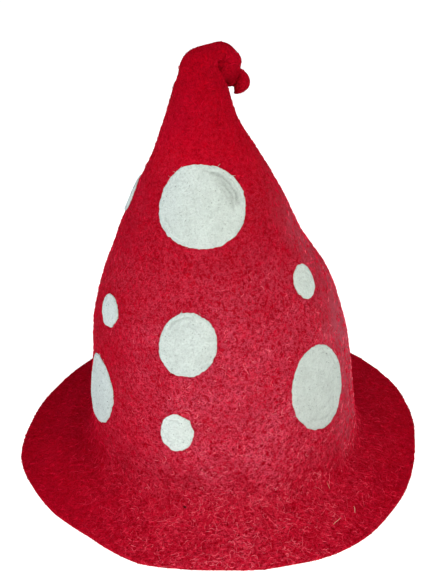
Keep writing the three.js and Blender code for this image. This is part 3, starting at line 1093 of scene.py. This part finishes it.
def tubes(name: str, points: np.ndarray, ups: np.ndarray, radius: np.ndarray) -> Mesh:
    """One mesh of closed three-sided tubes that taper at both ends.

    Args:
        name: the mesh's name.
        points: the tubes' middle lines, tube by tube and step by step.
        ups: the normals of what the tubes lie on, at the points.
        radius: each tube's radius in metres, as a column.

    Returns:
        The mesh.
    """
    sides, blunt, fullness = 3, 0.12, 0.5
    count, steps = points.shape[:2]
    ahead = unit(np.gradient(points, axis=1))
    aside = unit(np.cross(ahead, ups))
    above = np.cross(aside, ahead)
    taper = np.sin(np.linspace(blunt, math.pi - blunt, steps)) ** fullness
    rings = []
    for corner in range(sides):
        angle = math.pi / 2 + corner * 2 * math.pi / sides
        out = aside * math.cos(angle) + above * math.sin(angle)
        rings.append(points + out * (radius * taper)[:, :, None])
    vertices = np.stack(rings, 2).reshape(-1, 3)
    vertices[:, 2] = np.maximum(vertices[:, 2], 0)
    faces = []
    for first in range(0, (steps - 1) * sides, sides):
        for corner in range(sides):
            a, b = first + corner, first + (corner + 1) % sides
            faces += [[a, a + sides, b], [b, a + sides, b + sides]]
    last = (steps - 1) * sides
    faces += [[0, 1, 2], [last, last + 2, last + 1]]
    every = (np.array(faces)[None] + np.arange(count)[:, None, None] * steps * sides).reshape(-1, 3)
    mesh = bpy.data.meshes.new(name)
    mesh.from_pydata(vertices.tolist(), [], every.tolist())
    mesh.update()
    return mesh


def shade_tubes(mesh: Mesh, shades: np.ndarray) -> None:
    """Gives each tube its own shade."""
    paint(mesh, "shade", np.repeat(shades, len(mesh.vertices) // len(shades)))


@dataclass(frozen=True)
class Fibres:
    """Curly loose fibres on a surface, as one mesh of closed tubes. Lengths are in millimetres."""

    name: str
    count: int
    slot: Slot
    length: tuple[float, float] = (4.0, 9.0)
    thickness: tuple[float, float] = (0.16, 0.3)
    lift: tuple[float, float] = (0.1, 0.6)
    low_share: float = 1.5
    root: float = 0.06
    blunt: float = 0.02
    curl: float = 0.55
    wobble: float = 0.6
    steps: int = 5
    tone: tuple[float, float] = (0.0, 0.55)
    calm_tone: float = 0.4
    nap_tone: float = 0.45
    tries: int = 3

    def build(
        self, roots: Skin, ground: Skin, draws: np.random.Generator, weigh: Weigh, finish: Material, wear_and_light: WearAndLight
    ) -> Piece:
        """The fibres.

        Args:
            roots: the surface that they grow from.
            ground: the surface that they lie on.
            draws: the source of random numbers.
            weigh: where they are dense: each triangle's weight from its middle and its normal.
            finish: their material.
            wear_and_light: where the nap and its painted sheen are pale, and where the painted rim light lies.

        Returns:
            The piece.
        """
        places, normals = roots.scatter(draws, self.count * self.tries, weigh)
        outside = np.flatnonzero(ground.open_to_sky(places, normals))[: self.count]
        places, normals = places[outside], normals[outside]
        points, ups = self._paths(ground, draws, places, normals)
        radius = draws.uniform(*self.thickness, (len(places), 1)) * MM / 2
        mesh = tubes(self.name, points, ups, radius)
        shade = draws.uniform(*self.tone, len(places))
        if self.slot is Slot.RED:
            shade *= self.calm_tone + (1 - self.calm_tone) * np.minimum(wear_and_light.curl(places), 1)
            # Fibres are painted paler with the nap and its painted sheen, and with the painted rim light.
            pale = wear_and_light.nap_and_sheen(places) + wear_and_light.painted_rim_light(places, normals)
            shade += pale * draws.random(len(places)) * self.nap_tone
        shade_tubes(mesh, np.clip(shade, 0, 1))
        piece = new_piece(self.name, mesh)
        dress(mesh, finish)
        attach(piece, BODY)
        return piece

    def _paths(
        self, ground: Skin, draws: np.random.Generator, places: np.ndarray, normals: np.ndarray
    ) -> tuple[np.ndarray, np.ndarray]:
        """The way that each fibre curls over the ground.

        Args:
            ground: the surface that they lie on.
            draws: the source of random numbers.
            places: the fibres' roots.
            normals: the surface's normals there.

        Returns:
            The middle lines and the ground's normals along them, fibre by fibre and step by step.
        """
        count = len(places)
        step = draws.uniform(*self.length, count) * MM / (self.steps - 1)
        way = unit(np.cross(normals, draws.normal(size=(count, 3))))
        bend = draws.normal(0, self.curl, count)
        high = draws.uniform(*self.lift, count) ** self.low_share * MM
        here, up = places, normals
        points, ups = [], []
        for number in range(self.steps):
            share = number / (self.steps - 1)
            arch = math.sin(math.pi * min(max(share, self.blunt), 1 - self.blunt))
            sunk = self.root * MM * (1 - math.sin(math.pi * share))
            points.append(here + up * (high * arch - sunk)[:, None])
            ups.append(up)
            turn = (bend + draws.normal(0, self.curl * self.wobble, count)) * step / MM
            way = unit(way - up * dots_of(way, up)[:, None])
            way = way * np.cos(turn)[:, None] + np.cross(up, way) * np.sin(turn)[:, None]
            here, up = ground.nearest(here + way * step[:, None])
        return np.stack(points, 1), np.stack(ups, 1)


@dataclass(frozen=True)
class Strays:
    """Stiff stray fibres and a dark bit that lie on the brim.

    A row is x, y, x, y and thickness in millimetres, and a shade.
    """

    name: str = "stray_fibres"
    rows: tuple[tuple[float, ...], ...] = (
        (78.1, -107.9, 84.3, -101.0, 0.4, 1.0),
        (94.0, -89.6, 94.4, -95.8, 0.38, 1.0),
        (75.5, -72.0, 78.0, -76.5, 0.3, 0.75),
        (-25.6, -98.6, -23.8, -97.6, 1.1, 0.0),
        (-25.8, -97.0, -24.6, -98.6, 0.9, 0.0),
        (-24.0, -99.1, -24.6, -97.2, 0.9, 0.0),
    )
    steps: int = 5
    above: float = 14.0
    clear: float = 0.25
    bow: float = 0.35

    def build(self, ground: Skin, finish: Material) -> Piece:
        """The strays, laid on the ground from above.

        Args:
            ground: the surface that they lie on.
            finish: their material.

        Returns:
            The piece.
        """
        rows = np.array(self.rows)
        shares = np.linspace(0, 1, self.steps)[None, :, None]
        flat = rows[:, None, 0:2] * (1 - shares) + rows[:, None, 2:4] * shares
        high = np.concatenate([flat, np.full((*flat.shape[:2], 1), self.above)], 2) * MM
        seats, ups = ground.nearest(high.reshape(-1, 3))
        lift = (self.clear + self.bow * np.sin(math.pi * shares)) * MM
        points = seats.reshape(high.shape) + ups.reshape(high.shape) * lift
        mesh = tubes(self.name, points, ups.reshape(high.shape), rows[:, 4:5] * MM / 2)
        shade_tubes(mesh, rows[:, 5])
        piece = new_piece(self.name, mesh)
        dress(mesh, finish)
        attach(piece, BODY)
        return piece


@dataclass(frozen=True)
class Softbox:
    """A square soft light that faces the hat, turned from the front to the right, and raised, in degrees."""

    name: str
    turned: float
    raised: float
    power: float
    colour: Colour
    away: float = 1.5
    size: float = 1.0


@dataclass(frozen=True)
class Studio:
    """A pale floor, soft lights and the camera. Lengths are in metres, lens and sensor in millimetres."""

    target: Place = (-0.002857, -0.000239, 0.129)
    distance: float = 0.85
    elevation: float = 31.32
    lens: float = 75.54
    sensor: float = 36.0
    floor_size: float = 6.0
    floor_pale: float = 0.9
    floor_rough: float = 0.9
    floor_glow: float = 0.6
    air: float = 0.1
    lights: tuple[Softbox, ...] = (
        Softbox("high_right", 55, 50, 11.2, (1.0, 1.0, 1.0)),
        Softbox("high_front", 30, 45, 5.4, (1.0, 0.98, 0.9)),
        Softbox("high_left", -30, 45, 9.3, (1.0, 0.97, 0.91)),
        Softbox("low_left", -60, 15, 7.8, (0.8, 0.89, 1.0)),
        Softbox("far_left", -95, 25, 2.6, (0.45, 0.5, 1.0)),
        Softbox("back_left", -130, 40, 3.5, (0.7, 0.75, 1.0)),
        Softbox("back_right", 130, 30, 2.5, (0.8, 0.9, 1.0)),
    )

    def build(self) -> None:
        """Makes the floor, the lights and the camera."""
        self._floor()
        self._world()
        for light in self.lights:
            self._light(light)
        self._camera()

    def _floor(self) -> None:
        """A plain pale floor."""
        bm = bmesh.new()
        bmesh.ops.create_grid(bm, x_segments=1, y_segments=1, size=self.floor_size / 2)
        mesh = bpy.data.meshes.new("floor")
        bm.to_mesh(mesh)
        bm.free()
        finish, sheet, shader = new_material("floor")
        sheet.feed(shader, {
            "Base Color": (*(self.floor_pale,) * 3, 1.0),
            "Roughness": self.floor_rough,
            "Emission Color": (1.0, 1.0, 1.0, 1.0),
            "Emission Strength": self.floor_glow,
        })
        dress(mesh, finish)
        new_piece("floor", mesh)

    def _world(self) -> None:
        """Pale light from all round."""
        world = bpy.data.worlds.new("studio")
        world.use_nodes = True
        background = world.node_tree.nodes["Background"]
        NodeSheet(world.node_tree).feed(background, {"Color": (1.0, 1.0, 1.0, 1.0), "Strength": self.air})
        bpy.context.scene.world = world
        bpy.context.scene.view_settings.view_transform = "Standard"

    def _light(self, box: Softbox) -> None:
        """Makes one soft light.

        Args:
            box: where it stands and how strong it is.
        """
        data = bpy.data.lights.new(box.name, "AREA")
        data.size, data.energy, data.color = box.size, box.power, box.colour
        self._place(new_piece(box.name, data), box.turned, box.raised, box.away)

    def _camera(self) -> None:
        """The camera at the photograph's angle."""
        data = bpy.data.cameras.new("camera")
        data.lens, data.sensor_width = self.lens, self.sensor
        camera = new_piece("camera", data)
        self._place(camera, 0.0, self.elevation, self.distance)
        bpy.context.scene.camera = camera

    def _place(self, thing: Piece, turned: float, raised: float, away: float) -> None:
        """Places a light or the camera so that it faces the hat.

        Args:
            thing: the light or the camera.
            turned: how far it is turned from the front to the right, in degrees.
            raised: how far it is raised, in degrees.
            away: how far it is from the hat.
        """
        turned, raised = math.radians(turned), math.radians(raised)
        level = math.cos(raised)
        way = Vector((math.sin(turned) * level, -math.cos(turned) * level, math.sin(raised)))
        thing.location = Vector(self.target) + way * away
        thing.rotation_euler = (-way).to_track_quat("-Z", "Y").to_euler()


RED_FELT = FeltFinish(
    name="red_felt",
    deep=(0.17, 0.0001, 0.003),
    main=(0.46, 0.0002, 0.008),
    pale=(0.49, 0.0005, 0.016),
    strand=(0.74, 0.009, 0.04),
    strand_share=0.9,
    strand_width=0.085,
    cover=0.04,
    gaps=0.08,
    bump=1.0,
    sheen=0.004,
    sheen_tint=(1.0, 0.2, 0.3),
    # The pale nap colour, which also paints sheen, and the colour of the painted rim light.
    worn_and_lit=WornAndLitLook(raised=(0.85, 0.085, 0.155), painted_rim_colour=(0.54, 0.11, 0.155)),
)
WHITE_FELT = FeltFinish(
    name="white_felt",
    deep=(0.4, 0.45, 0.415),
    main=(0.605, 0.68, 0.625),
    pale=(0.65, 0.72, 0.67),
    strand=(0.73, 0.79, 0.74),
    strand_share=0.35,
    strand_width=0.07,
    cover=0.0,
    gaps=0.42,
    bump=0.7,
    sheen=0.03,
    sheen_tint=(1.0, 1.0, 1.0),
)
RED_FIBRES = FibreFinish(
    "red_fibres",
    (
        (0.24, 0.0001, 0.004), (0.48, 0.0005, 0.014), (0.68, 0.006, 0.036), (0.82, 0.045, 0.1),
        (0.93, 0.18, 0.24),
    ),
)
WHITE_FIBRES = FibreFinish("white_fibres", ((0.46, 0.53, 0.48), (0.6, 0.67, 0.62), (0.78, 0.83, 0.8)))
DARK_FLECKS = FibreFinish("dark_flecks", ((0.02, 0.03, 0.025), (0.14, 0.18, 0.15)))
STRAW = FibreFinish("straw", ((0.035, 0.006, 0.006), (0.6, 0.14, 0.1), (0.85, 0.6, 0.42)))

WEAR_AND_LIGHT = WearAndLight()
BRIM_TOP = 26.0
CROWN_FOOT = 18.0
UNDERSIDE = -0.3
SPARSEST_ON_BRIM = 0.15
SPARSEST_ON_CROWN = 0.1


def on_brim(middles: np.ndarray, normals: np.ndarray) -> np.ndarray:
    """Where the brim's fibres grow: its top and its rim, most in front."""
    there = (middles[:, 2] < BRIM_TOP * MM) & (normals[:, 2] > UNDERSIDE)
    return there * (SPARSEST_ON_BRIM + WEAR_AND_LIGHT.curl(middles))


def on_crown(middles: np.ndarray, normals: np.ndarray) -> np.ndarray:
    """Where the crown's fibres grow: sparser towards the tip and the back."""
    return rise(middles[:, 2] / MM, CROWN_FOOT, BRIM_TOP) * (SPARSEST_ON_CROWN + WEAR_AND_LIGHT.curl(middles))


def everywhere(middles: np.ndarray, normals: np.ndarray) -> np.ndarray:
    """The same all over."""
    return np.ones(len(middles))


# The red felt's loose wool, and where it grows.
RED_WOOL = (
    (Fibres("brim_curls", 6000, Slot.RED, (3, 6.5), (0.3, 0.55), curl=0.75, tone=(0.1, 0.95)), on_brim),
    (Fibres("brim_fibres", 6000, Slot.RED, tone=(0.0, 0.9)), on_brim),
    (Fibres("crown_curls", 6000, Slot.RED, (3, 7), (0.28, 0.5), curl=0.8, tone=(0.1, 0.85)), on_crown),
    (Fibres("crown_fibres", 6000, Slot.RED, tone=(0.0, 0.8)), on_crown),
    (
        Fibres("long_hairs", 220, Slot.RED, (8, 17), (0.18, 0.26), (0.3, 0.9), curl=0.16, tone=(0.45, 1.0)),
        on_brim,
    ),
)

# The dots' loose wool, and its finish.
DOT_WOOL = (
    (Fibres("dot_fibres", 1500, Slot.WHITE, (1.5, 4), (0.14, 0.24), (0.05, 0.4)), WHITE_FIBRES),
    (
        Fibres("dot_flecks", 420, Slot.WHITE, (0.5, 1.2), (0.32, 0.55), (0.1, 0.2), steps=3, tone=(0, 1)),
        DARK_FLECKS,
    ),
)


def joined_skin(pieces: Sequence[Piece]) -> Skin:
    """One surface of several pieces.

    Args:
        pieces: the pieces.

    Returns:
        Their surface.
    """
    bm = bmesh.new()
    for piece in pieces:
        bm.from_mesh(piece.data)
    mesh = bpy.data.meshes.new("joined")
    bm.to_mesh(mesh)
    bm.free()
    skin = Skin(mesh)
    bpy.data.meshes.remove(mesh)
    return skin


def report(piece: Piece) -> None:
    """Logs a finished piece."""
    log.info("%s: %d faces", piece.name, len(piece.data.polygons))


def main() -> None:
    """Builds the hat and its studio in order."""
    logging.basicConfig(level=logging.INFO, format="%(message)s")
    draws = np.random.default_rng(SEED)
    groups, hat = Groups(), HatBody()
    Studio().build()
    body = hat.build(RED_FELT.material(groups), WEAR_AND_LIGHT)
    report(body)
    skin, solid = Skin(body.data), Skin(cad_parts[hat.node].data)
    white = WHITE_FELT.material(groups)
    dots = []
    for node in sorted(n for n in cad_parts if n.startswith("dot_")):
        dots.append(Dot(node).build(skin, solid, white))
        report(dots[-1])
    red = RED_FIBRES.material()
    whole, white_skin = joined_skin([body, *dots]), joined_skin(dots)
    for fibres, where in RED_WOOL:
        report(fibres.build(skin, whole, draws, where, red, WEAR_AND_LIGHT))
    for fibres, finish in DOT_WOOL:
        report(fibres.build(white_skin, whole, draws, everywhere, finish.material(), WEAR_AND_LIGHT))
    report(Strays().build(skin, STRAW.material()))


if __name__ == "__main__":
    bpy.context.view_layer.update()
    main()
